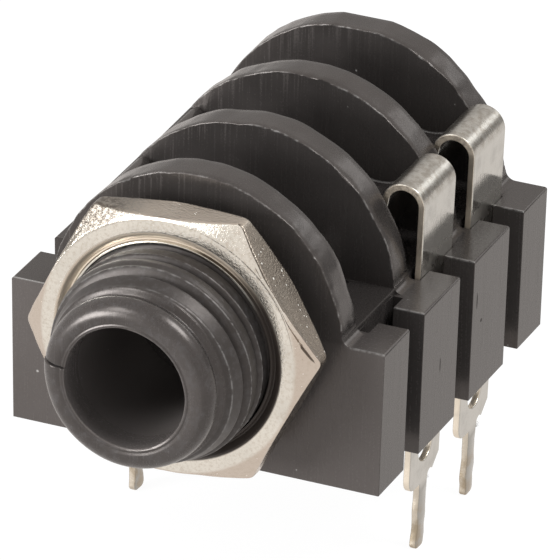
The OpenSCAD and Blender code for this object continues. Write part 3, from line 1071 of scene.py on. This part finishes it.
CAMERA_AZIMUTH = 23.294
CAMERA_ELEVATION = 26.021
CAMERA_ROLL = 1.15
CAMERA_TARGET = Vector((0.0, 10.234, 0.0))
CAMERA_DISTANCE = 440.06
CAMERA_FOCAL_PIXELS = 8619.7
PICTURE_SHIFT = (-1.059, -42.787)
PICTURE_SIDE = 560.0
SENSOR = 36.0
WHITE = (1.0, 1.0, 1.0, 1.0)
REFLECTED_WHITE = (1.0, 0.935, 0.89, 1.0)
CARD_WHITE = (1.0, 0.95, 0.91, 1.0)
WORLD_LEVEL = 0.5
FLOOR_SIDE = 6.0
FLOOR_DROP = 0.02
FLOOR_GLOW = 1.06
FLOOR_GLOW_SHARE = 0.9
LAMP_TARGET = Vector((0.0, 0.006, 0.0))
# Each softbox: name, direction, distance, side and radiance
LAMPS = (
    ("overhead_softbox", (0.55, 0.06, 0.83), 0.3, 0.13, 11.5),
    ("front_left_softbox", (-0.45, -0.66, 0.6), 0.3, 0.1, 8.0),
    ("low_left_softbox", (-0.62, -0.77, 0.14), 0.4, 0.16, 19.5),
    ("rear_right_softbox", (0.42, 0.8, 0.43), 0.3, 0.08, 1.9),
)
# Each card: name, centre, width, height and grey
CARDS = (
    ("rear_card", (0.0, 0.7, 0.182), 3.0, 0.396, 0.6),
    ("dark_rear_card", (0.5, 0.5, 0.07), 0.42, 0.17, 0.22),
)


def make_camera():
    """The camera at the photograph's viewpoint, turned so that the picture needs no shift."""
    azimuth, elevation, roll = (math.radians(a) for a in (CAMERA_AZIMUTH, CAMERA_ELEVATION, CAMERA_ROLL))
    level_reach = math.cos(elevation)
    back = Vector((math.sin(azimuth) * level_reach, -math.cos(azimuth) * level_reach, math.sin(elevation)))
    right = (-back).cross(Vector((0.0, 0.0, 1.0))).normalized()
    up = right.cross(-back)
    level = math.cos(roll) * right + math.sin(roll) * up
    upright = -math.sin(roll) * right + math.cos(roll) * up
    aside, above = (shift / CAMERA_FOCAL_PIXELS for shift in PICTURE_SHIFT)
    ahead = (-back - level * aside + upright * above).normalized()
    level = ahead.cross(upright).normalized()
    upright = level.cross(ahead)
    data = bpy.data.cameras.new("photo_camera")
    data.sensor_width = SENSOR
    data.lens = SENSOR * CAMERA_FOCAL_PIXELS / PICTURE_SIDE
    data.clip_start, data.clip_end = 0.01, 20.0
    camera = add_object("photo_camera", data)
    turn = Matrix((level, upright, -ahead)).transposed().to_4x4()
    camera.matrix_world = Matrix.Translation((CAMERA_TARGET + back * CAMERA_DISTANCE) * MM) @ turn
    bpy.context.scene.camera = camera


def seen_as_white(tree):
    """1 for rays of the camera, of gloss and through glass, 0 for the light itself."""
    path = tree.nodes.new("ShaderNodeLightPath").outputs
    mixed = maths("MAXIMUM", path["Is Camera Ray"], path["Is Glossy Ray"])
    return maths("MAXIMUM", mixed, path["Is Transmission Ray"])


def plain_white(tree):
    """White for the camera, a little warm where it is reflected."""
    path = tree.nodes.new("ShaderNodeLightPath")
    return blend(path.outputs["Is Camera Ray"], REFLECTED_WHITE, WHITE)


def mix_shaders(tree, share, first, second, output):
    """Sends first to the output, with a share of second."""
    chosen = tree.nodes.new("ShaderNodeMixShader")
    feed(chosen.inputs[0], share)
    feed(chosen.inputs[1], first.outputs[0])
    feed(chosen.inputs[2], second.outputs[0])
    set_in(tree.nodes[output], Surface=chosen.outputs[0])


def make_world():
    """An even light that the camera and reflections see as plain white."""
    world = bpy.data.worlds.new("studio_white")
    bpy.context.scene.world = world
    world.use_nodes = True
    tree = world.node_tree
    light = tree.nodes["Background"]
    set_in(light, Color=WHITE, Strength=WORLD_LEVEL)
    white = tree.nodes.new("ShaderNodeBackground")
    set_in(white, Color=plain_white(tree))
    mix_shaders(tree, seen_as_white(tree), light, white, "World Output")


def make_floor(colour):
    """A wide pale floor under the pins: white to the camera, with the soft shadow kept in part."""
    bpy.ops.mesh.primitive_plane_add(size=FLOOR_SIDE, location=(0.0, 0.0, (PIN_TIPS - FLOOR_DROP) * MM))
    floor = bpy.context.object
    floor.name = "studio_floor"
    material = bpy.data.materials.new("pale_floor")
    material.use_nodes = True
    tree = material.node_tree
    shader = tree.nodes["Principled BSDF"]
    set_in(shader, Base_Color=colour, Roughness=0.9, Specular_IOR_Level=0.0)
    glow = tree.nodes.new("ShaderNodeEmission")
    set_in(glow, Color=plain_white(tree), Strength=FLOOR_GLOW)
    mix_shaders(tree, times(seen_as_white(tree), FLOOR_GLOW_SHARE), shader, glow, "Material Output")
    floor.data.materials.append(material)


def make_lamp(name, direction, distance, side, radiance):
    """A square softbox that faces the socket."""
    data = bpy.data.lights.new(name, "AREA")
    data.size = side
    data.energy = radiance * math.pi * side * side
    lamp = add_object(name, data)
    away = Vector(direction).normalized()
    lamp.location = LAMP_TARGET + away * distance
    lamp.rotation_mode = "QUATERNION"
    lamp.rotation_quaternion = away.to_track_quat("Z", "Y")


def make_card(name, centre, width, height, grey):
    """A grey card that only shows in reflections, as a studio flag does."""
    bpy.ops.mesh.primitive_plane_add(size=1.0, location=centre, rotation=(math.radians(90.0), 0.0, 0.0))
    card = bpy.context.object
    card.name = name
    card.scale = (width, height, 1.0)
    material = bpy.data.materials.new(name)
    material.use_nodes = True
    tree = material.node_tree
    glow = tree.nodes.new("ShaderNodeEmission")
    set_in(glow, Color=CARD_WHITE, Strength=grey)
    set_in(tree.nodes["Material Output"], Surface=glow.outputs[0])
    card.data.materials.append(material)
    card.visible_camera = card.visible_diffuse = card.visible_shadow = card.visible_transmission = False


class JACK_OT_stage(bpy.types.Operator):
    """Sets the floor, soft lamps and camera"""

    bl_idname = "jack.stage"
    bl_label = "Stage"

    def execute(self, context):
        context.scene.view_settings.view_transform = "Standard"
        make_camera()
        make_world()
        make_floor(context.scene.socket_colours.floor)
        for lamp in LAMPS:
            make_lamp(*lamp)
        for card in CARDS:
            make_card(*card)
        return {"FINISHED"}


class JACK_PT_panel(bpy.types.Panel):
    """Sizes, colours and pieces of the jack socket"""

    bl_label = "Jack Socket"
    bl_space_type = "VIEW_3D"
    bl_region_type = "UI"
    bl_category = "Jack Socket"

    def draw(self, context):
        for group in (context.scene.socket_sizes, context.scene.socket_colours):
            box = self.layout.box()
            for name in group.__annotations__:
                box.prop(group, name)
        for piece in PIECES:
            self.layout.operator(piece.bl_idname)


PIECES = (JACK_OT_moulded_body, JACK_OT_hex_nut, JACK_OT_contacts, JACK_OT_stage)
CLASSES = (SocketSizes, SocketColours) + PIECES + (JACK_PT_panel,)


def register():
    for each in CLASSES:
        bpy.utils.register_class(each)
    bpy.types.Scene.socket_sizes = bpy.props.PointerProperty(type=SocketSizes)
    bpy.types.Scene.socket_colours = bpy.props.PointerProperty(type=SocketColours)


def unregister():
    del bpy.types.Scene.socket_colours
    del bpy.types.Scene.socket_sizes
    for each in reversed(CLASSES):
        bpy.utils.unregister_class(each)


def main():
    register()
    bpy.ops.jack.moulded_body()
    bpy.ops.jack.hex_nut()
    bpy.ops.jack.contacts()
    bpy.ops.jack.stage()


if __name__ == "__main__":
    main()
